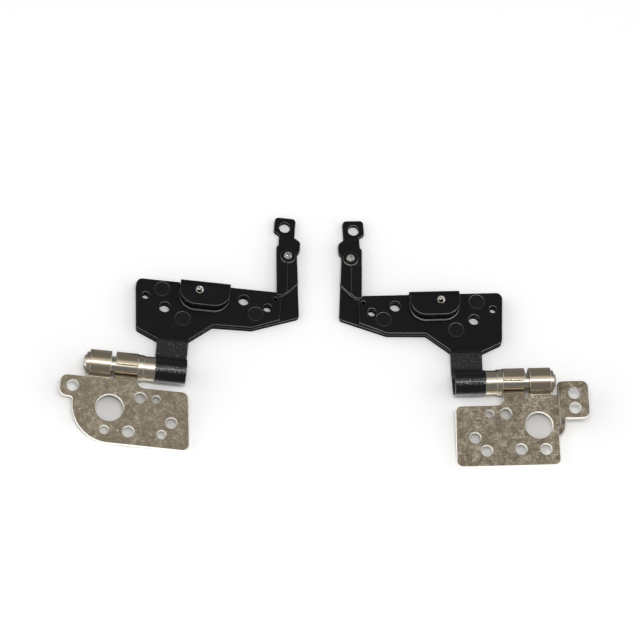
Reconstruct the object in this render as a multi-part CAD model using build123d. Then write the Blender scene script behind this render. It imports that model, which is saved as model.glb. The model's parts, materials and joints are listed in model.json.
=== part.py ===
from build123d import *
import math
import os

# A left and a right friction hinge for a notebook computer's lid, lying open on a table.
# Each hinge is drawn in its own frame: x along the hinge axis towards the lid bracket's arm,
# y away from the base plate, z up, with the axis over the origin. The right one is mirrored.

# Layout of the pair
LOOP_SPACING = 71.8
TOE_ANGLE = 4.0

# Sheet metal and shaft
PLATE_T = 1.2
LEAF_T = 1.2
BRACKET_T = 1.2
BEND_R = 0.3
ROOT_BEND_R = 0.45
SHAFT_D = 3.6
JOURNAL_D = 4.1
RUN_FIT = 0.03
SEAT_GAP = 0.1

# Stations along the hinge axis
LOOP_W = 7.5
COLLAR_W = 2.7
THRUST_W = 1.35
UNDER_WRAP_W = 5.3
WRAP_GAP = 1.15
OVER_WRAP_W = 5.1
END_WASHER_W = 0.65
PEEN_W = 0.6
END_PLAY = 0.05

# Turned pieces on the axis
COLLAR_D = 5.8
THRUST_D = 6.2
END_WASHER_D = 5.2
SPIGOT_D = 2.6
PEEN_D = 3.8
PEEN_CHAMFER = 0.4
TURNED_CHAMFER = 0.2

# Rolled ends, as angles past the top or bottom of the shaft
WRAP_LAP = 10.0
LOOP_CLOSE = 36.0

# Holes
SCREW_D = 2.9
LID_SCREW_D = 2.7
SMALL_D = 2.1
MIDDLE_D = 2.3
PEG_D = 1.9
BOSS_HOLE_D = 6.8
TAP_D = 1.9
RELIEF_D = 1.1

# Base plates, measured forward from the axis and sideways from the loop's middle
PLATE_CORNER_R = 1.4
NECK_R = 1.7
LEFT_SHOULDER = 5.2
LEFT_FRONT = 19.5
LEFT_NECK_FLARE = 0.9
LEFT_INNER_REAR = 4.6
LEFT_INNER_FRONT = 6.1
LEFT_OUTER = 22.6
LEFT_SWEEP_R = 9.3
LEFT_EAR_OUT = 25.9
LEFT_EAR_FRONT = 8.8
LEFT_EAR_R = 1.6
LEFT_EAR_ROOT_R = 0.9
RIGHT_SHOULDER = 6.0
RIGHT_FRONT = 21.0
RIGHT_INNER_REAR = 3.7
RIGHT_INNER_FRONT = 4.3
RIGHT_EAR_RISE = 2.0
RIGHT_EAR_OUT = 28.2
RIGHT_EAR_REAR = 0.9
RIGHT_EAR_FRONT = 10.0
RIGHT_EAR_ROOT = 0.1
RIGHT_WEB_FRONT = 13.4
RIGHT_EAR_GAP = 0.4
RIGHT_EAR_HOLE_IN = 3.4
RIGHT_EAR_HOLE_SPACING = 3.7
RIGHT_EAR_HOLE_REAR = 3.0

LEFT_HOLES = [
    (-22.9, -6.2, SCREW_D),
    (-13.7, -10.8, BOSS_HOLE_D),
    (-6.6, -7.6, SCREW_D),
    (-2.8, -7.6, SMALL_D),
    (1.3, -13.1, SCREW_D),
    (-0.8, -16.2, MIDDLE_D),
    (-8.7, -16.3, SCREW_D),
    (-14.5, -16.4, MIDDLE_D),
]
RIGHT_HOLES = [
    (-16.1, -11.1, BOSS_HOLE_D),
    (-8.3, -8.0, SCREW_D),
    (-4.3, -8.0, SMALL_D),
    (-0.5, -13.9, SCREW_D),
    (-3.1, -17.2, SCREW_D),
    (-11.4, -17.0, SCREW_D),
    (-17.4, -17.1, SCREW_D),
]

# Lid bracket and leaf, measured back from the axis
LID_REAR = 24.05
LID_CORNER_R = 1.5
LID_OUTER_REAR = -10.0
LID_OUTER_FRONT = -8.9
LID_CHAMFER = 11.0
TONGUE_OUTER_ROOT = 8.6
TONGUE_INNER_ROOT = 9.2
TONGUE_SLOPE_REAR = 8.3
TONGUE_SLOPE_FRONT = 4.6
WAIST_OUTER = (9.3, 13.8)
WAIST_INNER = (18.7, 14.1)
WAIST_R = 1.0
LEAF_END = 25.1
LEAF_END_FRONT = 16.9
LEAF_CUT = 1.1
HEEL = (29.8, 18.5)
HEEL_R = 0.9
LID_HOLES = [
    (-7.4, 19.7, PEG_D),
    (-2.6, 17.1, LID_SCREW_D),
    (16.2, 21.1, LID_SCREW_D),
    (22.0, 19.7, SMALL_D),
]
RELIEF_AT = (23.8, 22.2)

# Folded tab over the leaf, and the raised pad under it
TAB_LEFT = 0.7
TAB_RIGHT = 12.7
TAB_FRONT = 17.7
TAB_BEHIND = 0.25
TAB_TOP = 4.8
TAB_R = 3.8
TAB_HOLE = (5.3, 21.5)
PAD_RISE = 0.35
PAD_AHEAD = 0.5

# Arm, raised half its sheet above the bracket, and its end pad
ARM_RISE = 0.6
ARM_LAP = 0.8
ARM_INNER_ROOT = 24.1
ARM_INNER_END = (23.1, 36.6)
ARM_OUTER_ROOT = (28.9, 27.3)
ARM_OUTER_END = (28.1, 34.9)
ARM_BULGE = 0.6
ARM_BULGE_RAMP = 1.0
ARM_BULGE_R = 0.9
ARM_STEP = 23.6
ARM_STEP_CORNER = (26.5, 24.6)
ARM_END = 39.3
ARM_NOTCH = 0.45
STRIP_RISE = 0.35
STRIP_END = 32.4
BOSS_AT = (26.0, 34.3)
BOSS_D = 3.6
BOSS_RISE = 0.25
END_PAD_INNER = 22.2
END_PAD_OUTER = 27.2
END_PAD_NECK = 40.0
END_PAD_SLANT = 0.9
END_PAD_LENGTH = 4.6
END_PAD_R = 0.9
END_PAD_INNER_R = 0.45
END_PAD_HOLE_IN = 2.5

# Rivets through leaf and bracket, flush on both faces
RIVET_D = 3.7
RIVETS_AT = [(-3.6, 21.8), (1.9, 14.5), (19.3, 17.7)]

# Sizes that follow from the ones above
SHAFT_R = SHAFT_D / 2
WRAP_IN = JOURNAL_D / 2 + RUN_FIT
WRAP_OUT = WRAP_IN + PLATE_T
LOOP_OUT = SHAFT_R + LEAF_T
AXIS_HEIGHT = max(WRAP_OUT, LOOP_OUT)
LEAF_TOP = BRACKET_T + LEAF_T
ROOT_R = ROOT_BEND_R + PLATE_T / 2
WRAP_ROOT = -math.sqrt((WRAP_IN + PLATE_T / 2 + ROOT_R) ** 2 - ROOT_R**2)
PLATE_REAR = WRAP_ROOT - SEAT_GAP

LOOP_FACE = -LOOP_W / 2
COLLAR_FACE = LOOP_FACE - COLLAR_W
THRUST_FACE = COLLAR_FACE - THRUST_W
UNDER_START = THRUST_FACE - END_PLAY
UNDER_END = UNDER_START - UNDER_WRAP_W
OVER_START = UNDER_END - WRAP_GAP
OVER_END = OVER_START - OVER_WRAP_W
SHAFT_SHOULDER = OVER_END - END_PLAY
WASHER_FACE = SHAFT_SHOULDER - END_WASHER_W
SHAFT_END = WASHER_FACE - PEEN_W
RIGHT_EAR_WALL = SHAFT_END - RIGHT_EAR_GAP
RIGHT_OUTER = -(RIGHT_EAR_WALL + BEND_R + RIGHT_EAR_ROOT)

END_PAD_REAR = END_PAD_NECK + END_PAD_LENGTH
END_PAD_HOLE = (END_PAD_INNER + END_PAD_HOLE_IN, END_PAD_REAR - END_PAD_HOLE_IN)


def outline(*corners):
    """Face inside a run of corners, each given as x, y and corner radius."""
    points = [(x, y) for x, y, radius in corners]
    radii = [radius for x, y, radius in corners]
    return make_face(FilletPolyline(*points, radius=radii, close=True))


def across(profile, start, end):
    """Solid of a section in the y-z plane, drawn from start to end along the hinge axis."""
    return extrude(Plane.YZ.offset(start) * profile, end - start)


def drill(solid, holes):
    """Cuts round holes, given as x, y and diameter, right through a sheet."""
    depth = 2 * (TAB_TOP + RIGHT_EAR_RISE)
    for x, y, diameter in holes:
        solid -= Pos(x, y) * Cylinder(diameter / 2, depth)
    return solid


def wrap_profile(turn):
    """Section of a finger rolled over the shaft when turn is 1, and under it when turn is -1.

    The finger leaves the plate in an S bend and runs round the shaft on the plate's middle plane.
    """
    half = PLATE_T / 2
    tail = WRAP_ROOT - PLATE_T
    lean = math.degrees(math.atan2(ROOT_R, WRAP_ROOT))
    free_end = -(90 + WRAP_LAP)
    sweep = lean - free_end
    bend = (WRAP_ROOT, turn * ROOT_R)
    tip = Vector(1, 0).rotate(Axis.Z, turn * free_end)
    edges = [
        Line((tail, turn * half), (WRAP_ROOT, turn * half)),
        CenterArc(bend, ROOT_BEND_R, -90 * turn, (lean - 90) * turn),
        CenterArc((0, 0), WRAP_OUT, lean * turn, -sweep * turn),
        Line(tip * WRAP_OUT, tip * WRAP_IN),
        CenterArc((0, 0), WRAP_IN, free_end * turn, sweep * turn),
        CenterArc(bend, ROOT_BEND_R + PLATE_T, (lean - 180) * turn, (90 - lean) * turn),
        Line((WRAP_ROOT, -turn * half), (tail, -turn * half)),
        Line((tail, -turn * half), (tail, turn * half)),
    ]
    return make_face(edges)


def wraps():
    """The two fingers of a base plate, rolled opposite ways round the shaft."""
    over = across(wrap_profile(1), OVER_END, OVER_START)
    under = across(wrap_profile(-1), UNDER_END, UNDER_START)
    return over + under


def droop(front):
    """Angle at which a plate of this reach leans down until its front edge meets the table."""
    half = PLATE_T / 2
    return math.degrees(math.asin(AXIS_HEIGHT / math.hypot(front, half)) - math.atan2(half, front))


def lean_down(plate, front):
    """Turns a plate from its own level about the hinge axis, down to the table."""
    return Pos(0, 0, AXIS_HEIGHT) * Rot(X=droop(front)) * plate


def left_base_plate():
    """Nickelled stamping with a round-cornered screw plate, a side ear and two rolled fingers."""
    sheet = outline(
        (UNDER_START, WRAP_ROOT, 0),
        (UNDER_START + LEFT_NECK_FLARE, -LEFT_SHOULDER, NECK_R),
        (LEFT_INNER_REAR, -LEFT_SHOULDER, PLATE_CORNER_R),
        (LEFT_INNER_FRONT, -LEFT_FRONT, PLATE_CORNER_R),
        (-LEFT_OUTER, -LEFT_FRONT, LEFT_SWEEP_R),
        (-LEFT_OUTER, -LEFT_EAR_FRONT, LEFT_EAR_ROOT_R),
        (-LEFT_EAR_OUT, -LEFT_EAR_FRONT, LEFT_EAR_R),
        (-LEFT_EAR_OUT, PLATE_REAR, LEFT_EAR_R),
        (OVER_END, PLATE_REAR, 0),
        (OVER_END, WRAP_ROOT, 0),
    )
    plate = extrude(sheet, PLATE_T / 2, both=True) + wraps()
    return lean_down(drill(plate, LEFT_HOLES), LEFT_FRONT)


def raised_ear():
    """Side ear of the right plate: up a wall beside the shaft's end, then flat outwards.

    In front of the ear the wall runs down to the plate as a sloping web.
    """
    wall_out = RIGHT_EAR_WALL - PLATE_T
    half = PLATE_T / 2
    top = RIGHT_EAR_RISE + half
    outer_r = BEND_R + PLATE_T
    section = outline(
        (-RIGHT_OUTER, -half, 0),
        (wall_out, -half, outer_r),
        (wall_out, RIGHT_EAR_RISE - half, BEND_R),
        (-RIGHT_EAR_OUT, RIGHT_EAR_RISE - half, 0),
        (-RIGHT_EAR_OUT, top, 0),
        (RIGHT_EAR_WALL, top, outer_r),
        (RIGHT_EAR_WALL, half, BEND_R),
        (-RIGHT_OUTER, half, 0),
    )
    ear = extrude(Plane.XZ.offset(RIGHT_EAR_REAR) * section, RIGHT_WEB_FRONT - RIGHT_EAR_REAR)
    plan = outline(
        (-RIGHT_OUTER, -RIGHT_WEB_FRONT, 0),
        (wall_out, -RIGHT_WEB_FRONT, 0),
        (wall_out, -RIGHT_EAR_FRONT, 0),
        (-RIGHT_EAR_OUT, -RIGHT_EAR_FRONT, LEFT_EAR_R),
        (-RIGHT_EAR_OUT, -RIGHT_EAR_REAR, LEFT_EAR_R),
        (RIGHT_EAR_WALL, -RIGHT_EAR_REAR, 0),
        (RIGHT_EAR_WALL, PLATE_REAR, 0),
        (-RIGHT_OUTER, PLATE_REAR, 0),
    )
    ear &= extrude(plan, top, both=True)
    slope = outline(
        (-RIGHT_EAR_REAR, -half, 0),
        (-RIGHT_EAR_REAR, top, 0),
        (-RIGHT_EAR_FRONT, top, 0),
        (-RIGHT_WEB_FRONT, -half, 0),
    )
    ear &= across(slope, -RIGHT_EAR_OUT, -RIGHT_OUTER)
    hole_x = -RIGHT_EAR_OUT + RIGHT_EAR_HOLE_IN
    first_y = -RIGHT_EAR_REAR - RIGHT_EAR_HOLE_REAR
    pair = [(hole_x, first_y, SCREW_D), (hole_x, first_y - RIGHT_EAR_HOLE_SPACING, SCREW_D)]
    return drill(ear, pair)


def right_base_plate():
    """Nickelled stamping with a square screw plate, a raised side ear and two rolled fingers."""
    sheet = outline(
        (UNDER_START, WRAP_ROOT, 0),
        (UNDER_START, -RIGHT_SHOULDER, NECK_R),
        (RIGHT_INNER_REAR, -RIGHT_SHOULDER, PLATE_CORNER_R),
        (RIGHT_INNER_FRONT, -RIGHT_FRONT, PLATE_CORNER_R),
        (-RIGHT_OUTER, -RIGHT_FRONT, PLATE_CORNER_R),
        (-RIGHT_OUTER, PLATE_REAR, 0),
        (OVER_END, PLATE_REAR, 0),
        (OVER_END, WRAP_ROOT, 0),
    )
    plate = extrude(sheet, PLATE_T / 2, both=True) + wraps() + raised_ear()
    return lean_down(drill(plate, RIGHT_HOLES), RIGHT_FRONT)


def turned(*steps):
    """Solid of revolution on the hinge axis, from steps of start, end and diameter."""
    solid = Part()
    for start, end, diameter in steps:
        middle = (start + end) / 2
        solid += Pos(middle, 0, AXIS_HEIGHT) * Rot(Y=90) * Cylinder(diameter / 2, end - start)
    return solid


def shaft():
    """Turned shaft: pressed into the lid's loop, with a collar, a journal and a peened spigot."""
    loop_end = -LOOP_FACE
    body = turned(
        (LOOP_FACE, loop_end, SHAFT_D),
        (COLLAR_FACE, LOOP_FACE, COLLAR_D),
        (SHAFT_SHOULDER, COLLAR_FACE, JOURNAL_D),
        (WASHER_FACE, SHAFT_SHOULDER, SPIGOT_D),
        (SHAFT_END, WASHER_FACE, PEEN_D),
    )
    rims = body.edges().filter_by(GeomType.CIRCLE).sort_by(Axis.X)
    body = chamfer(rims[0], PEEN_CHAMFER)
    inner_rim = body.edges().filter_by(GeomType.CIRCLE).sort_by(Axis.X)[-1]
    return chamfer(inner_rim, TURNED_CHAMFER)


def thrust_washer():
    """Hardened ring between the collar and the first rolled finger."""
    ring = turned((THRUST_FACE, COLLAR_FACE, THRUST_D))
    return ring - turned((THRUST_FACE, COLLAR_FACE, 2 * WRAP_IN))


def end_washer():
    """Washer on the spigot, held against the shaft's shoulder by the peened head."""
    ring = turned((WASHER_FACE, SHAFT_SHOULDER, END_WASHER_D))
    return ring - turned((WASHER_FACE, SHAFT_SHOULDER, SPIGOT_D))


def tab_plan(front, rear):
    """Plan of the folded tab: square at its fold and round at its free end."""
    return outline(
        (TAB_LEFT, rear, 0),
        (TAB_RIGHT, rear, 0),
        (TAB_RIGHT, front, TAB_R),
        (TAB_LEFT, front, TAB_R),
    )


def rivets():
    """Solid rivets through leaf and bracket, pressed flush with both faces."""
    pin = Cylinder(RIVET_D / 2, LEAF_TOP)
    return [Pos(x, y, LEAF_TOP / 2) * pin for x, y in RIVETS_AT]


def loop_profile():
    """Section of the leaf's tongue: down a slope, under the shaft, up its front and over the top."""
    top = LEAF_TOP - AXIS_HEIGHT
    root = max(TONGUE_INNER_ROOT, TONGUE_OUTER_ROOT) + BEND_R
    sweep = 360 - 90 + LOOP_CLOSE
    tip = Vector(1, 0).rotate(Axis.Z, -LOOP_CLOSE)
    edges = [
        Line((root, top), (TONGUE_SLOPE_REAR, top)),
        Line((TONGUE_SLOPE_REAR, top), (TONGUE_SLOPE_FRONT, -SHAFT_R)),
        Line((TONGUE_SLOPE_FRONT, -SHAFT_R), (0, -SHAFT_R)),
        CenterArc((0, 0), SHAFT_R, -90, -sweep),
        Line(tip * SHAFT_R, tip * LOOP_OUT),
        CenterArc((0, 0), LOOP_OUT, -LOOP_CLOSE, sweep),
        Line((0, -LOOP_OUT), (TONGUE_SLOPE_FRONT, -LOOP_OUT)),
        Line((TONGUE_SLOPE_FRONT, -LOOP_OUT), (TONGUE_SLOPE_REAR, top - LEAF_T)),
        Line((TONGUE_SLOPE_REAR, top - LEAF_T), (root, top - LEAF_T)),
        Line((root, top - LEAF_T), (root, top)),
    ]
    return Pos(0, AXIS_HEIGHT) * make_face(edges)


def lid_leaf():
    """Black top sheet: riveted on the bracket, with a tongue rolled into the shaft's loop."""
    notch = LID_REAR + TAB_BEHIND - BRACKET_T - BEND_R - SEAT_GAP
    sheet = outline(
        (LID_OUTER_REAR, LID_REAR, LID_CORNER_R),
        (TAB_LEFT - SEAT_GAP, LID_REAR, 0),
        (TAB_LEFT - SEAT_GAP, notch, 0),
        (TAB_RIGHT + SEAT_GAP, notch, 0),
        (TAB_RIGHT + SEAT_GAP, LID_REAR, 0),
        (ARM_INNER_ROOT - SEAT_GAP, LID_REAR, 0),
        (ARM_INNER_ROOT - SEAT_GAP, ARM_STEP - SEAT_GAP, 0),
        (LEAF_END, ARM_STEP - LEAF_CUT, 0),
        (LEAF_END, LEAF_END_FRONT, 0),
        (*WAIST_INNER, WAIST_R),
        (*WAIST_OUTER, WAIST_R),
        (-LOOP_FACE, TONGUE_INNER_ROOT, 0),
        (LOOP_FACE, TONGUE_OUTER_ROOT, 0),
        (LID_OUTER_FRONT, LID_CHAMFER, WAIST_R),
    )
    leaf = Pos(0, 0, BRACKET_T) * extrude(sheet, LEAF_T)
    leaf += across(loop_profile(), LOOP_FACE, -LOOP_FACE)
    pad_front = TAB_FRONT - PAD_AHEAD
    pad = tab_plan(pad_front, notch)
    leaf += Pos(0, 0, LEAF_TOP) * extrude(pad, PAD_RISE)
    leaf = drill(leaf, [*LID_HOLES, (*RELIEF_AT, RELIEF_D)])
    for rivet in rivets():
        leaf -= rivet
    return leaf


def folded_tab():
    """Tab of the bracket: up behind the leaf's rear edge and forward over it, with a tapped hole."""
    rear = LID_REAR + TAB_BEHIND
    rear_wall = rear - BRACKET_T
    root = rear_wall - 2 * BRACKET_T
    outer_r = BEND_R + BRACKET_T
    section = outline(
        (root, 0, 0),
        (rear, 0, outer_r),
        (rear, TAB_TOP, outer_r),
        (TAB_FRONT, TAB_TOP, 0),
        (TAB_FRONT, TAB_TOP - BRACKET_T, 0),
        (rear_wall, TAB_TOP - BRACKET_T, BEND_R),
        (rear_wall, BRACKET_T, BEND_R),
        (root, BRACKET_T, 0),
    )
    tab = across(section, TAB_LEFT, TAB_RIGHT)
    tab &= extrude(tab_plan(TAB_FRONT, rear), TAB_TOP)
    x, y = TAB_HOLE
    return tab - Pos(x, y, TAB_TOP) * Cylinder(TAP_D / 2, 2 * BRACKET_T)


def arm():
    """Raised arm of the bracket with a stiffening strip, a tapped boss and a flat end pad."""
    inner_x, inner_y = ARM_INNER_END
    step_x, step_y = ARM_STEP_CORNER
    outer_x, outer_y = ARM_OUTER_END
    bulge_x = outer_x + ARM_BULGE
    body = outline(
        (ARM_INNER_ROOT, ARM_STEP, 0),
        (step_x - BRACKET_T, ARM_STEP, 0),
        (step_x, step_y, 0),
        (*ARM_OUTER_ROOT, 0),
        (outer_x, outer_y, ARM_BULGE_R),
        (bulge_x, outer_y + ARM_BULGE_RAMP, ARM_BULGE_R),
        (bulge_x, ARM_END - ARM_BULGE_RAMP, ARM_BULGE_R),
        (END_PAD_OUTER, ARM_END, 0),
        (inner_x + ARM_NOTCH, ARM_END, 0),
        (inner_x + ARM_NOTCH, inner_y + ARM_NOTCH, 0),
        (inner_x, inner_y, 0),
    )
    strip = outline(
        (ARM_INNER_ROOT, ARM_STEP, 0),
        (step_x - BRACKET_T, ARM_STEP, 0),
        (step_x, step_y, 0),
        (BOSS_AT[0], STRIP_END, 0),
        (inner_x, STRIP_END, 0),
    )
    pad = outline(
        (inner_x + ARM_NOTCH, ARM_END - ARM_LAP, 0),
        (inner_x + ARM_NOTCH, END_PAD_NECK, 0),
        (END_PAD_INNER, END_PAD_NECK + END_PAD_SLANT, END_PAD_INNER_R),
        (END_PAD_INNER, END_PAD_REAR, END_PAD_R),
        (END_PAD_OUTER, END_PAD_REAR, END_PAD_R),
        (END_PAD_OUTER, ARM_END - ARM_LAP, 0),
    )
    top = ARM_RISE + BRACKET_T
    solid = Pos(0, 0, ARM_RISE) * extrude(body, BRACKET_T)
    solid += Pos(0, 0, ARM_RISE) * extrude(strip & body, BRACKET_T + STRIP_RISE)
    solid += extrude(pad, BRACKET_T)
    boss_x, boss_y = BOSS_AT
    solid += Pos(boss_x, boss_y, top + BOSS_RISE / 2) * Cylinder(BOSS_D / 2, BOSS_RISE)
    return drill(solid, [(*BOSS_AT, TAP_D), (*END_PAD_HOLE, LID_SCREW_D)])


def lid_bracket():
    """Black lower sheet: carries the leaf, and has the folded tab and the arm in one piece."""
    root = LID_REAR - 2 * BRACKET_T
    step_x, step_y = ARM_STEP_CORNER
    sheet = outline(
        (LID_OUTER_REAR, LID_REAR, LID_CORNER_R),
        (TAB_LEFT, LID_REAR, 0),
        (TAB_LEFT, root, 0),
        (TAB_RIGHT, root, 0),
        (TAB_RIGHT, LID_REAR, 0),
        (ARM_INNER_ROOT, LID_REAR, 0),
        (ARM_INNER_ROOT, ARM_STEP + ARM_LAP, 0),
        (step_x - BRACKET_T, ARM_STEP + ARM_LAP, 0),
        (step_x, step_y + ARM_LAP, 0),
        (ARM_OUTER_ROOT[0], ARM_OUTER_ROOT[1] + ARM_LAP, 0),
        (*ARM_OUTER_ROOT, 0),
        (*HEEL, HEEL_R),
        (*WAIST_INNER, WAIST_R),
        (*WAIST_OUTER, WAIST_R),
        (-LOOP_FACE, TONGUE_INNER_ROOT, 0),
        (LOOP_FACE, TONGUE_OUTER_ROOT, 0),
        (LID_OUTER_FRONT, LID_CHAMFER, WAIST_R),
    )
    bracket = drill(extrude(sheet, BRACKET_T), LID_HOLES)
    for rivet in rivets():
        bracket -= rivet
    return bracket + folded_tab() + arm()


def place(solid, side):
    """Puts a piece of one hinge where it lies in the pair; the right hinge is the mirror image."""
    if side == "right":
        return Pos(LOOP_SPACING / 2, 0, 0) * Rot(Z=TOE_ANGLE) * mirror(solid, about=Plane.YZ)
    return Pos(-LOOP_SPACING / 2, 0, 0) * Rot(Z=-TOE_ANGLE) * solid


def hinge(side):
    """All pieces of one hinge, by name."""
    plate = left_base_plate() if side == "left" else right_base_plate()
    pieces = {
        "base_plate": plate,
        "shaft": shaft(),
        "thrust_washer": thrust_washer(),
        "end_washer": end_washer(),
        "lid_leaf": lid_leaf(),
        "lid_bracket": lid_bracket(),
        "rivets": Compound(rivets()),
    }
    return {f"{side}_{name}": place(piece, side) for name, piece in pieces.items()}


nodes = hinge("left") | hinge("right")

# The origin is on the table, under the middle of the whole pair
box = Compound([*nodes.values()]).bounding_box()
centre = Pos(-box.center().X, -box.center().Y, -box.min.Z)

os.makedirs("parts", exist_ok=True)
for name, piece in nodes.items():
    export_step(centre * piece, f"parts/{name}.step")
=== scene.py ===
import json
import math
import bpy
from mathutils import Matrix, Vector


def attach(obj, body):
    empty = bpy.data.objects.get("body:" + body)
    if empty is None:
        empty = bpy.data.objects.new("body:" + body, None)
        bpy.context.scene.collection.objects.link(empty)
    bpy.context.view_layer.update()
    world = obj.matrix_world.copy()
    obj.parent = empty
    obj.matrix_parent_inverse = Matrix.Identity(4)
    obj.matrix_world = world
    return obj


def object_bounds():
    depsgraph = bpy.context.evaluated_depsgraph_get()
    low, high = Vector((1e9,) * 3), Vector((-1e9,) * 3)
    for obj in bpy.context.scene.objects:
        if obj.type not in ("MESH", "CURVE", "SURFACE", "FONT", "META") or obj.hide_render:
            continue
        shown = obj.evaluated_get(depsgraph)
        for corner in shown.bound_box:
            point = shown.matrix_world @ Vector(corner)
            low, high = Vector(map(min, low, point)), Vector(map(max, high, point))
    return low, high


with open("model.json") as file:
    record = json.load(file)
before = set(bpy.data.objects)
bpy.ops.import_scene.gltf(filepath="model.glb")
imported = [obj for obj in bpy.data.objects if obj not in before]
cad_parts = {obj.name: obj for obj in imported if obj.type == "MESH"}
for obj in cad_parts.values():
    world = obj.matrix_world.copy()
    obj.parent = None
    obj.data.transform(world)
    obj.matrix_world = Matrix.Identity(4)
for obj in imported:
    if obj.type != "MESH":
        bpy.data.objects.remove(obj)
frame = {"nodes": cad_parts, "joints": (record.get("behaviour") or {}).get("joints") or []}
cad_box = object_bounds()
nodes = frame["nodes"]


# Base plates: two different stampings of nickelled steel, each with fingers rolled round its shaft.
# The flats are dull and full of fine handling scratches, the rolled fingers are burnished smooth,
# and the sheared edges, hole walls and rounded rims are painted near white, partly as bright bare
# metal and partly as a painted highlight.

MM = 0.001
# In each section a pair of lengths is where a soft step starts and where it ends
FINGER_RADIUS = (3.4 * MM, 3.7 * MM)
FINGER_REACH = (19.7 * MM, 20.1 * MM)
BURNISHED_ABOVE = (-0.4 * MM, 1.0 * MM)
# Place on each hinge, in millimetres
RUB_SPOT = (-15.5, -5.0, 2.0)
RUB_FADE = (1.5 * MM, 5.0 * MM)
NICKEL_DARK = (0.110, 0.089, 0.062)
NICKEL = (0.228, 0.190, 0.136)
NICKEL_PALE = (0.47, 0.42, 0.32)
NICKEL_SCRATCHED = (0.60, 0.55, 0.46)
NICKEL_SPECK = (0.09, 0.075, 0.055)
NICKEL_NICK = (0.72, 0.68, 0.60)
NICKEL_BURNISHED = (0.50, 0.43, 0.32)
NICKEL_EDGE_AND_HIGHLIGHT = (0.80, 0.77, 0.71)
# Direction in degrees, length and width of each kind of scratch
SCRATCH_KINDS = ((24, 2.4 * MM, 0.22 * MM), (-38, 1.8 * MM, 0.20 * MM), (78, 2.0 * MM, 0.25 * MM))
# Side, half-width of the mottle's ramp, strength of the scratches and roughness of the fingers
PLATE_LOOKS = (("left", 0.24, 0.25, 0.23), ("right", 0.17, 0.6, 0.17))


class Shade:
    """One value of a finish's node tree; arithmetic on it adds the Math nodes."""

    def __init__(self, tree, socket=None):
        self.tree = tree
        self.socket = socket

    def node(self, kind, settings, inputs, output=0):
        made = self.tree.nodes.new("ShaderNode" + kind)
        for name, value in settings.items():
            if name == "stops":
                for _ in value[2:]:
                    made.color_ramp.elements.new(0.5)
                for stop, (place, colour) in zip(made.color_ramp.elements, value):
                    stop.position = place
                    stop.color = (*colour, 1)
            else:
                setattr(made, name, value)
        for name, value in inputs.items():
            if isinstance(value, Shade):
                self.tree.links.new(value.socket, made.inputs[name])
            else:
                made.inputs[name].default_value = value
        return Shade(self.tree, made.outputs[output])

    def maths(self, operation, *others):
        return self.node("Math", {"operation": operation}, dict(enumerate((self, *others))))

    def __add__(self, other):
        return self.maths("ADD", other)

    def __sub__(self, other):
        return self.maths("SUBTRACT", other)

    def __rsub__(self, other):
        return self.node("Math", {"operation": "SUBTRACT"}, {0: other, 1: self})

    def __mul__(self, other):
        return self.maths("MULTIPLY", other)

    def __truediv__(self, other):
        return self.maths("DIVIDE", other)

    def __pow__(self, other):
        return self.maths("POWER", other)

    __radd__ = __add__
    __rmul__ = __mul__

    def step(self, low, high):
        """0 below low and 1 above high, with a soft slope between them."""
        inputs = {"Value": self, "From Min": low, "From Max": high}
        return self.node("MapRange", {"interpolation_type": "SMOOTHSTEP"}, inputs)

    def vector(self, operation, other, output=0):
        return self.node("VectorMath", {"operation": operation}, {0: self, 1: other}, output)

    def noise(self, size, detail=2.0, roughness=0.5, swirl=0.0):
        """Cloudy pattern whose lumps are about size metres across."""
        inputs = {"Vector": self, "Scale": 1 / size, "Detail": detail, "Roughness": roughness}
        return self.node("TexNoise", {}, {**inputs, "Distortion": swirl})

    def blend(self, low, high):
        """Colour that goes from low to high as this value goes from 0 to 1."""
        sides = [c if isinstance(c, Shade) else (*c, 1) for c in (low, high)]
        return self.node("Mix", {"data_type": "RGBA"}, {0: self, 6: sides[0], 7: sides[1]}, 2)


def new_finish(name, **constants):
    """A material with its Principled shader, and an empty value to start expressions from."""
    made = bpy.data.materials.new(name)
    made.use_nodes = True
    shader = made.node_tree.nodes["Principled BSDF"]
    for socket, value in constants.items():
        shader.inputs[socket.replace("_", " ")].default_value = value
    return made, shader, Shade(made.node_tree)


def feed(shader, **values):
    """Links worked-out values to the shader's inputs."""
    for socket, value in values.items():
        value.tree.links.new(value.socket, shader.inputs[socket.replace("_", " ")])


def wear_finish(node, finish):
    """Gives a solid of the frame its finish."""
    mesh = nodes[node].data
    mesh.materials.clear()
    mesh.materials.append(finish)


def hinge_axis(side):
    """Middle of a hinge's loop, and unit vectors along its axis and to the rear."""
    joint = next(j for j in frame["joints"] if j["child"] == f"{side}_lid")
    along = Vector(joint["axis"])
    return Vector(joint["pos_m"]), along, Vector((0, 0, 1)).cross(along)


def on_hinge(side, x, y, z):
    """Point of a hinge's own frame, in millimetres, in the frame of the pair."""
    middle, along, rear = hinge_axis(side)
    inward = along if side == "left" else -along
    spot = middle + (inward * x + rear * y) * MM
    return Vector((spot.x, spot.y, z * MM))


def scratches(place, turn, length, width):
    """Fine straight scratches that run one way, as a pattern from 0 to 1."""
    scale = (1 / length, 1 / width, 1 / length)
    spin = {"Vector": place, "Rotation": (0, 0, math.radians(turn)), "Scale": scale}
    lined = place.node("Mapping", {"vector_type": "POINT"}, spin)
    grain = place.node("TexNoise", {}, {"Vector": lined, "Scale": 1.0, "Detail": 3.0, "Roughness": 0.6})
    return grain.step(0.57, 0.70)


def sheet_up(node):
    """Upward normal of a sheet, from its flat faces."""
    flats = [face for face in nodes[node].data.polygons if face.normal.z > 0.98]
    return sum((face.normal * face.area for face in flats), Vector()).normalized()


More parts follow.
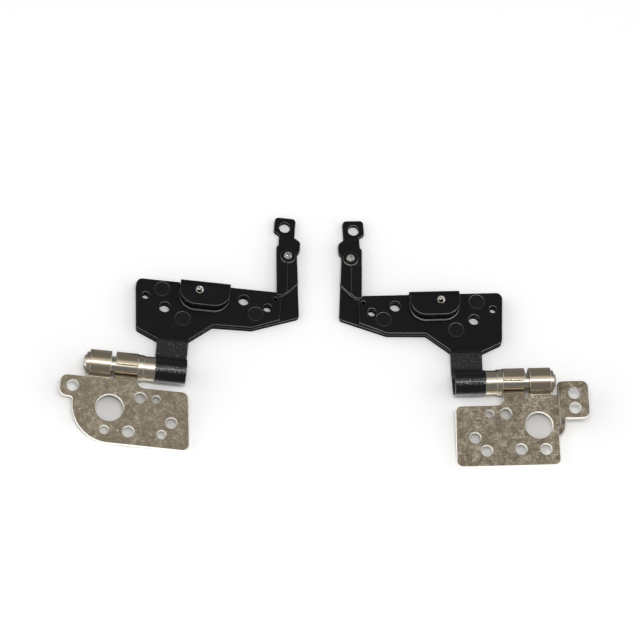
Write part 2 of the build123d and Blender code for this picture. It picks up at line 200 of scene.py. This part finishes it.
for side, calm, scuffed, smooth in PLATE_LOOKS:
    middle, along, rear = hinge_axis(side)
    nickel, shader, start = new_finish(f"{side} satin nickel", Specular_IOR_Level=0.3)
    place = start.node("TexCoord", {}, {}, "Object")
    facing = start.node("TexCoord", {}, {}, "Normal")
    from_axis = place.vector("SUBTRACT", middle)
    back = from_axis.vector("DOT_PRODUCT", rear, "Value")
    height = from_axis.vector("DOT_PRODUCT", (0, 0, 1), "Value")
    reach = (back * back + height * height) ** 0.5
    up = sheet_up(f"{side}_base_plate")
    station = from_axis.vector("DOT_PRODUCT", along, "Value").maths("ABSOLUTE")
    barrel = (1 - reach.step(*FINGER_RADIUS)) * (1 - station.step(*FINGER_REACH))
    rolled = barrel * from_axis.vector("DOT_PRODUCT", up, "Value").step(*BURNISHED_ABOVE)
    square = facing.vector("DOT_PRODUCT", up, "Value").maths("ABSOLUTE")
    cut = (1 - square.step(0.3, 0.6)) * (1 - barrel)
    clouds = place.noise(2.8 * MM, 5.0, 0.6, 1.6)
    fine = place.noise(0.4 * MM, 3.0, 0.6)
    mottle = clouds * 0.55 + fine * 0.45
    marks = scratches(place, *SCRATCH_KINDS[0])
    for kind in SCRATCH_KINDS[1:]:
        marks = marks.maths("MAXIMUM", scratches(place, *kind))
    marks = marks * clouds.step(0.40, 0.60)
    specks = place.noise(0.22 * MM, 1.0).step(0.70, 0.76)
    stops = [(0.5 - calm, NICKEL_DARK), (0.5, NICKEL), (0.5 + calm, NICKEL_PALE)]
    dull = mottle.node("ValToRGB", {"stops": stops}, {"Fac": mottle})
    rub = 1 - place.vector("DISTANCE", on_hinge(side, *RUB_SPOT), "Value").step(*RUB_FADE)
    scuffs = marks * scuffed + fine.step(0.42, 0.66) * rub * scuffed * 0.7
    worn = scuffs.blend(dull, NICKEL_SCRATCHED)
    spotted = (specks * 0.6).blend(worn, NICKEL_SPECK)
    nicks = place.noise(0.7 * MM, 1.0).step(0.72, 0.76)
    nicked = (nicks * 0.7).blend(spotted, NICKEL_NICK)
    bright = rolled.blend(nicked, NICKEL_BURNISHED)
    round_edge = start.node("Bevel", {"samples": 8}, {"Radius": 0.3 * MM})
    true_face = start.node("NewGeometry", {}, {}, "Normal")
    edge = (1 - round_edge.vector("DOT_PRODUCT", true_face, "Value")).step(0.01, 0.2)
    # Sheared walls and rounded rims are painted near white, partly as bare metal and partly as a painted
    # highlight.
    colour = cut.maths("MAXIMUM", edge * 0.8).blend(bright, NICKEL_EDGE_AND_HIGHLIGHT)
    rough = (0.46 + mottle * 0.16 - marks * 0.10) * (1 - rolled) + rolled * smooth - cut * 0.12
    relief = (clouds * 0.4 + fine * 0.3 + marks * 0.3) * (1 - rolled)
    skin = {"Strength": 0.25, "Distance": 0.03 * MM, "Height": relief, "Normal": round_edge}
    feed(shader, Base_Color=colour, Roughness=rough, Normal=start.node("Bump", {}, skin))
    feed(shader, Metallic=0.7 + rolled * 0.2)
    wear_finish(f"{side}_base_plate", nickel)


# Shafts and washers: turned steel, nickelled bright. The shaft is pressed into the lid's loop, where
# its end is painted black as shade, its collar backs on the thrust washer, and its peened head holds
# the outer washer.

STEEL_DIM = (0.56, 0.50, 0.40)
STEEL_BRIGHT = (0.78, 0.71, 0.59)
SHAFT_END_PAINTED_SHADE = (0.012, 0.012, 0.013)
SHAFT_END = (3.55 * MM, 3.65 * MM)
TURNING_MARK = 0.06 * MM

for side, inward in (("left", 1), ("right", -1)):
    middle, along, _ = hinge_axis(side)
    turned, shader, start = new_finish(f"{side} bright nickel", Metallic=1.0)
    place = start.node("TexCoord", {}, {}, "Object")
    station = place.vector("SUBTRACT", middle).vector("DOT_PRODUCT", along, "Value")
    turning = {"W": station, "Scale": 1 / TURNING_MARK, "Detail": 3.0}
    rings = start.node("TexNoise", {"noise_dimensions": "1D"}, turning)
    haze = place.noise(1.4 * MM, 4.0)
    colour = (haze * 0.8 + rings * 0.2).blend(STEEL_DIM, STEEL_BRIGHT)
    # The shaft's end inside the loop is painted black, a painted shade.
    shaded_inner_end = (station * inward).step(*SHAFT_END)
    colour = shaded_inner_end.blend(colour, SHAFT_END_PAINTED_SHADE)
    round_edge = start.node("Bevel", {"samples": 8}, {"Radius": 0.15 * MM})
    skin = {"Strength": 0.08, "Distance": 0.01 * MM, "Height": rings, "Normal": round_edge}
    rough = 0.15 + haze * 0.10 + shaded_inner_end * 0.5
    feed(shader, Base_Color=colour, Roughness=rough, Normal=start.node("Bump", {}, skin))
    for piece in ("shaft", "thrust_washer", "end_washer"):
        wear_finish(f"{side}_{piece}", turned)


# Lid leaves and brackets: pressed steel sheets with a half-gloss black coat over both. The coat has
# a slight orange peel. Its edges that face forward are painted pale, partly as rubbed wear and partly
# as a painted highlight. Pale specks along the loop's brow and, fainter, on the tongue are painted
# glints.

COAT_DEEP = (0.0028, 0.0028, 0.0036)
COAT_HANDLED = (0.006, 0.006, 0.0075)
COAT_PALE_WEAR_AND_GLINTS = (0.72, 0.70, 0.66)
TONGUE_END = (8.0 * MM, 10.0 * MM)
LOOP_END = (3.0 * MM, 3.6 * MM)
# Side, and how strongly its forward edges are painted pale, as rubbed wear and as painted highlight
LID_EDGE_WEAR_AND_HIGHLIGHT = (("left", 0.55), ("right", 0.9))

for side, worn in LID_EDGE_WEAR_AND_HIGHLIGHT:
    middle, along, rear = hinge_axis(side)
    black, shader, start = new_finish(f"{side} black coat", Specular_IOR_Level=0.25, Coat_Roughness=0.16)
    place = start.node("TexCoord", {}, {}, "Object")
    peel = place.noise(0.32 * MM, 2.0) * 0.7 + place.noise(1.1 * MM, 2.0) * 0.3
    handled = place.noise(6.0 * MM, 4.0, 0.6)
    from_axis = place.vector("SUBTRACT", middle)
    back = from_axis.vector("DOT_PRODUCT", rear, "Value")
    tongue = 1 - back.step(*TONGUE_END)
    loop = 1 - back.step(*LOOP_END)
    facing = start.node("TexCoord", {}, {}, "Normal")
    ends = facing.vector("DOT_PRODUCT", along, "Value").maths("ABSOLUTE").step(0.6, 0.9)
    upright = 1 - facing.vector("DOT_PRODUCT", (0, 0, 1), "Value").maths("ABSOLUTE").step(0.3, 0.6)
    wall = ends.maths("MAXIMUM", upright * (1 - loop))
    round_edge = start.node("Bevel", {"samples": 8}, {"Radius": 0.25 * MM})
    true_face = start.node("NewGeometry", {}, {}, "Normal")
    edge = (1 - round_edge.vector("DOT_PRODUCT", true_face, "Value")).step(0.02, 0.2)
    forward = (0 - round_edge.vector("DOT_PRODUCT", rear, "Value")).step(0.1, 0.5)
    dust = place.noise(0.14 * MM, 1.0).step(0.70, 0.78)
    # Painted glints: pale specks where the loop and tongue face up and forward, toward the lamp.
    lit_brow = facing.vector("DOT_PRODUCT", Vector((0, 0, 0.95)) - rear * 0.31, "Value").step(0.95, 0.995)
    painted_glints = place.noise(0.34 * MM, 2.0, 0.7).step(0.55, 0.70) * lit_brow * (tongue * 0.3 + loop * 0.9)
    coat = handled.blend(COAT_DEEP, COAT_HANDLED)
    # Pale forward edges are partly rubbed wear and partly a painted highlight; the dust is real, the specks
    # are painted glints.
    pale_wear_and_glints = edge * (0.1 + forward * 0.9) * (handled + peel) * worn + dust * 0.04 + painted_glints * 0.45
    colour = pale_wear_and_glints.blend(coat, COAT_PALE_WEAR_AND_GLINTS)
    rough = 0.16 + handled * 0.10 + peel * 0.06 + wall * 0.6 + tongue * (1 - loop) * 0.25
    grit = place.noise(0.5 * MM, 3.0, 0.7) * tongue
    skin = {"Strength": 0.5, "Distance": 0.03 * MM, "Height": peel + grit * 9.0, "Normal": round_edge}
    feed(shader, Base_Color=colour, Roughness=rough, Normal=start.node("Bump", {}, skin))
    feed(shader, Coat_Weight=loop * (1 - ends) * 0.5)
    for piece in ("lid_leaf", "lid_bracket"):
        wear_finish(f"{side}_{piece}", black)


# Rivets: solid steel, pressed flush through leaf and bracket and coated with them. Only a faint
# groove round each head shows, and the ring at its edge is painted a little paler as a highlight.

# Places on each hinge, in millimetres
RIVETS_AT = ((-3.6, 21.8), (1.9, 14.5), (19.3, 17.7))
RIVET_RIM = (1.62 * MM, 1.78 * MM)
RIVET_HEAD = (0.0045, 0.0045, 0.0055)
RIVET_GROOVE_HIGHLIGHT = (0.018, 0.018, 0.020)

for side in ("left", "right"):
    headed, shader, start = new_finish(f"{side} rivet black", Specular_IOR_Level=0.3)
    place = start.node("TexCoord", {}, {}, "Object")
    flat_place = place.vector("MULTIPLY", (1, 1, 0))
    off = None
    for x, y in RIVETS_AT:
        centre = on_hinge(side, x, y, 0)
        away = flat_place.vector("DISTANCE", centre, "Value")
        off = away if off is None else off.maths("MINIMUM", away)
    rim = off.step(*RIVET_RIM)
    peel = place.noise(0.3 * MM, 2.0)
    # The ring at each head's edge is painted paler, a painted highlight along the groove.
    colour = rim.blend(RIVET_HEAD, RIVET_GROOVE_HIGHLIGHT)
    skin = {"Strength": 0.6, "Distance": 0.05 * MM, "Height": peel * 0.3 - rim}
    feed(shader, Base_Color=colour, Roughness=0.22 + peel * 0.10, Normal=start.node("Bump", {}, skin))
    wear_finish(f"{side}_rivets", headed)


# Threads: the folded tab and the arm's boss are tapped for small screws after coating, so the
# thread is bare bright steel. It is cut as one ridge that winds up the hole.

# Lengths in millimetres; the form gives radius and level, the level as a share of the pitch
THREAD_PITCH = 0.4
THREAD_ROOT = 0.945
THREAD_CREST = 0.66
THREAD_FORM = ((THREAD_ROOT, -0.5), (THREAD_CREST, -0.06), (THREAD_CREST, 0.06), (THREAD_ROOT, 0.5))
POINTS_ACROSS = len(THREAD_FORM)
STEPS_A_TURN = 40
BURR_DARK = (0.30, 0.27, 0.20)
BURR_BRIGHT = (0.96, 0.94, 0.88)
# Name, place on each hinge, and the lowest and highest level of the thread
TAPPED = (("tab", 5.3, 21.5, 3.62, 4.78), ("arm", 26.0, 34.3, 0.62, 2.03))

for side in ("left", "right"):
    bare, shader, start = new_finish(f"{side} bare thread", Metallic=1.0)
    place = start.node("TexCoord", {}, {}, "Object")
    burr = place.noise(0.2 * MM, 3.0)
    ragged = burr.step(0.42, 0.56)
    colour = ragged.blend(BURR_DARK, BURR_BRIGHT)
    feed(shader, Base_Color=colour, Roughness=0.10 + burr * 0.2)
    for name, x, y, low, high in TAPPED:
        foot = on_hinge(side, x, y, 0)
        turns = (high - low) / THREAD_PITCH + 1
        points, faces = [], []
        for i in range(int(turns * STEPS_A_TURN) + 1):
            angle = 2 * math.pi * i / STEPS_A_TURN
            rise = low + THREAD_PITCH * (i / STEPS_A_TURN - 0.5)
            for radius, shift in THREAD_FORM:
                z = min(max(rise + shift * THREAD_PITCH, low), high)
                points.append(foot + Vector((radius * math.cos(angle), radius * math.sin(angle), z)) * MM)
            if i:
                a, b = POINTS_ACROSS * (i - 1), POINTS_ACROSS * i
                faces += [(a + k, b + k, b + k + 1, a + k + 1) for k in range(POINTS_ACROSS - 1)]
        mesh = bpy.data.meshes.new(f"{side} {name} thread")
        mesh.from_pydata(points, [], faces)
        mesh.materials.append(bare)
        thread = bpy.data.objects.new(f"{side}_{name}_thread", mesh)
        bpy.context.scene.collection.objects.link(thread)
        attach(thread, f"{side}_lid")


# Table: a plain white sheet that keeps the hinges' soft shadow. The camera sees a painted shade on it
# under each plate, so that the holes read grey. Reflections see a strip in front of the pair brighter than
# white and the rest dim, which lights the plates' cut edges and the lower fronts of collars and loops.

TABLE_HALF = 3.0
TABLE_BELOW = 0.02 * MM
TABLE_LIT = (0.8, 0.8, 0.8)
TABLE_SEEN = (1.15, 1.15, 1.15)
TABLE_PAINTED_SHADE = (0.80, 0.79, 0.77)
STRIP_MIRRORED = (2.2, 2.2, 2.2)
REST_MIRRORED = (0.3, 0.3, 0.3)
STRIP_START = (12 * MM, 15 * MM)
STRIP_END = (33 * MM, 38 * MM)
# Place on each hinge, in millimetres
SHADE_CENTRE = (-9.0, -12.0, 0)
SHADE_HALF_WIDE = 13.5 * MM
SHADE_HALF_DEEP = 8.2 * MM
SHADE_FADE = (0.70, 0.98)

mesh = bpy.data.meshes.new("table")
corners = [(-TABLE_HALF, -TABLE_HALF), (TABLE_HALF, -TABLE_HALF)]
corners += [(TABLE_HALF, TABLE_HALF), (-TABLE_HALF, TABLE_HALF)]
top = cad_box[0].z - TABLE_BELOW
mesh.from_pydata([(x, y, top) for x, y in corners], [], [(0, 1, 2, 3)])
table = bpy.data.objects.new("table", mesh)
bpy.context.scene.collection.objects.link(table)
paper, shader, start = new_finish("white table", Roughness=0.9, Specular_IOR_Level=0.0)
straight = start.node("LightPath", {}, {}, "Is Camera Ray")
mirrored = start.node("LightPath", {}, {}, "Is Glossy Ray")
place = start.node("TexCoord", {}, {}, "Object")
# Painted shade: as seen straight, the sheet is greyer in an oval under each plate.
painted_shade = None
for side in ("left", "right"):
    off = place.vector("SUBTRACT", on_hinge(side, *SHADE_CENTRE))
    _, along, rear = hinge_axis(side)
    wide = off.vector("DOT_PRODUCT", along, "Value") / SHADE_HALF_WIDE
    deep = off.vector("DOT_PRODUCT", rear, "Value") / SHADE_HALF_DEEP
    shade_under = 1 - (wide * wide + deep * deep).step(*SHADE_FADE)
    painted_shade = shade_under if painted_shade is None else painted_shade + shade_under
plain = straight.blend(TABLE_LIT, painted_shade.blend(TABLE_SEEN, TABLE_PAINTED_SHADE))
ahead = place.vector("DOT_PRODUCT", (0, -1, 0), "Value")
strip = ahead.step(*STRIP_START) - ahead.step(*STRIP_END)
shown = strip.blend(REST_MIRRORED, STRIP_MIRRORED)
feed(shader, Base_Color=mirrored.blend(plain, shown))
mesh.materials.append(paper)


# Light: a soft tent, bright overhead and at the sides and dim in front and behind, with one soft
# lamp overhead. The rolled fingers show both as a bright band near their tops.

TENT_TOP = Vector((0, -0.087, 0.996))
TENT_LEVEL = 0.2
TENT_OVERHEAD = 0.8
TENT_SIDES = 1.1
LAMP_WIDTH = 0.6
LAMP_DEPTH = 0.1
LAMP_WATTS = 2.6
LAMP_PLACE = Vector((0, -0.21, 0.98))

world = bpy.data.worlds.new("tent")
world.use_nodes = True
bpy.context.scene.world = world
start = Shade(world.node_tree)
way = start.node("TexCoord", {}, {}, "Generated")
overhead = way.vector("DOT_PRODUCT", TENT_TOP, "Value").step(0.83, 0.97)
sides = way.vector("DOT_PRODUCT", (1, 0, 0), "Value").maths("ABSOLUTE").step(0.4, 0.85)
level = TENT_LEVEL + overhead * TENT_OVERHEAD + sides * TENT_SIDES
background = world.node_tree.nodes["Background"]
world.node_tree.links.new(level.socket, background.inputs["Strength"])
background.inputs["Color"].default_value = (1, 1, 1, 1)

lamp = bpy.data.lights.new("overhead softbox", "AREA")
lamp.shape = "RECTANGLE"
lamp.size = LAMP_WIDTH
lamp.size_y = LAMP_DEPTH
lamp.energy = LAMP_WATTS
softbox = bpy.data.objects.new("overhead softbox", lamp)
softbox.location = LAMP_PLACE
softbox.rotation_euler = (-LAMP_PLACE).to_track_quat("-Z", "Y").to_euler()
bpy.context.scene.collection.objects.link(softbox)


# Camera: high in front and a little to the left, through a long lens, as the pair was photographed.

AIM = Vector((-0.88, 5.69, 0)) * MM
DISTANCE = 2.0
AZIMUTH, ELEVATION, ROLL = -12.0, 64.19, 13.19
FRAME_PIXELS = 640
PIXEL = 0.2402 * MM
SENSOR = 36
lens = bpy.data.cameras.new("camera")
lens.sensor_width = SENSOR
lens.lens = SENSOR * DISTANCE / (FRAME_PIXELS * PIXEL)
lens.clip_end = 20
turn = Matrix.Rotation(math.radians(AZIMUTH), 4, "Z") @ Matrix.Rotation(math.radians(90 - ELEVATION), 4, "X")
camera = bpy.data.objects.new("camera", lens)
stand = Matrix.Translation(AIM + turn @ Vector((0, 0, DISTANCE)))
camera.matrix_world = stand @ turn @ Matrix.Rotation(math.radians(ROLL), 4, "Z")
bpy.context.scene.collection.objects.link(camera)
bpy.context.scene.camera = camera
bpy.context.scene.view_settings.view_transform = "Standard"
